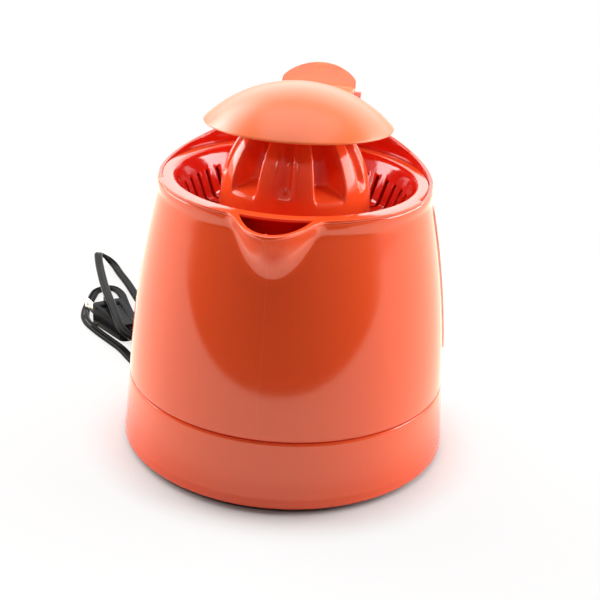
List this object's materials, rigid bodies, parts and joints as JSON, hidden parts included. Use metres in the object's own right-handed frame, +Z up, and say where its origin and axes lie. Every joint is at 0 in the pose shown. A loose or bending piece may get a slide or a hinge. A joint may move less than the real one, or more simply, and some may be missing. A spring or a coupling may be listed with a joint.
{
  "type": "electric citrus juicer",
  "caption": "Electric citrus juicer with a motor base, lift-off jug with pouring beak and strainer, ribbed reamer, hinged press lid, and mains cord with a flat plug.",
  "frame": {"origin": "on the drive axis at the table, in the plane of the foot ring", "axes": "+Z up along the drive axis, the beak towards -Y and the handle and hinge towards +Y"},
  "size_m": [0.2492, 0.2981, 0.192],
  "materials": {
    "orange_shell": "glossy moulded plastic",
    "clear_orange": "clear tinted plastic",
    "white_plastic": "plain moulded plastic",
    "black_plastic": "satin moulded plastic",
    "black_rubber": "satin rubber",
    "steel": "turned steel",
    "plated": "nickel plated",
    "bronze": "sintered bronze",
    "copper": "enamelled winding",
    "ferrite": "pressed ferrite"
  },
  "bodies": {
    "base": {"base_housing": "orange_shell", "base_plate": "black_plastic", "foot_ring": "black_rubber", "base_screws": "steel", "gear_plate": "steel", "gear_plate_screws": "steel", "plate_bush": "bronze", "motor_can": "steel", "motor_coil": "copper", "idler_axle": "steel", "tower_bush": "bronze", "spindle_seal": "black_rubber", "microswitch": "black_plastic", "terminal_block": "white_plastic", "cord_grommet": "black_rubber", "power_cord": "black_rubber", "plug_body": "black_plastic", "plug_blades": "plated"},
    "rotor_body": {"rotor": "ferrite", "rotor_shaft": "steel"},
    "idler_body": {"idler_gear": "white_plastic"},
    "output_body": {"output_gear": "white_plastic", "return_spring": "steel"},
    "spindle_body": {"spindle": "steel", "spindle_clip": "steel"},
    "switch_body": {"switch_button": "white_plastic"},
    "jug_body": {"jug": "orange_shell", "level_window": "clear_orange", "strainer": "orange_shell", "hinge_pin": "steel"},
    "glide_body": {"glide_ring": "white_plastic"},
    "reamer_body": {"reamer": "orange_shell", "drive_insert": "white_plastic"},
    "lid_body": {"lid": "orange_shell"}
  },
  "joints": [
    {"name": "jug_lift", "type": "slide", "parent": "base", "child": "jug_body", "axis": [0, 0, 1], "range_m": [0, 0.12]},
    {"name": "lid_hinge", "type": "hinge", "parent": "jug_body", "child": "lid_body", "pos_m": [0, 0.075, 0.165], "axis": [-1, 0, 0], "range_deg": [0, 95]},
    {"name": "reamer_press", "type": "slide", "parent": "jug_body", "child": "glide_body", "axis": [0, 0, -1], "range_m": [0, 0.002]},
    {"name": "reamer_spin", "type": "hinge", "parent": "glide_body", "child": "reamer_body", "pos_m": [0, 0, 0.14], "axis": [0, 0, 1], "continuous": true},
    {"name": "output_spin", "type": "hinge", "parent": "base", "child": "output_body", "pos_m": [0, 0, 0.028], "axis": [0, 0, 1], "continuous": true},
    {"name": "spindle_press", "type": "slide", "parent": "output_body", "child": "spindle_body", "axis": [0, 0, -1], "range_m": [0, 0.002], "stiffness_N_per_m": 1500, "springref_m": -0.003, "deforming": ["return_spring"]},
    {"name": "idler_spin", "type": "hinge", "parent": "base", "child": "idler_body", "pos_m": [0, -0.028, 0.025], "axis": [0, 0, 1], "continuous": true},
    {"name": "rotor_spin", "type": "hinge", "parent": "base", "child": "rotor_body", "pos_m": [0, -0.052, 0.015], "axis": [0, 0, 1], "continuous": true},
    {"name": "switch_press", "type": "slide", "parent": "base", "child": "switch_body", "axis": [0, 0, -1], "range_m": [0, 0.002]}
  ],
  "couplings": [
    {"joint": "output_spin", "follows": "rotor_spin", "ratio": 0.11111},
    {"joint": "idler_spin", "follows": "rotor_spin", "ratio": -0.33333},
    {"joint": "reamer_spin", "follows": "rotor_spin", "ratio": 0.11111},
    {"joint": "reamer_press", "follows": "spindle_press", "ratio": 1},
    {"joint": "switch_press", "follows": "spindle_press", "ratio": 1}
  ]
}
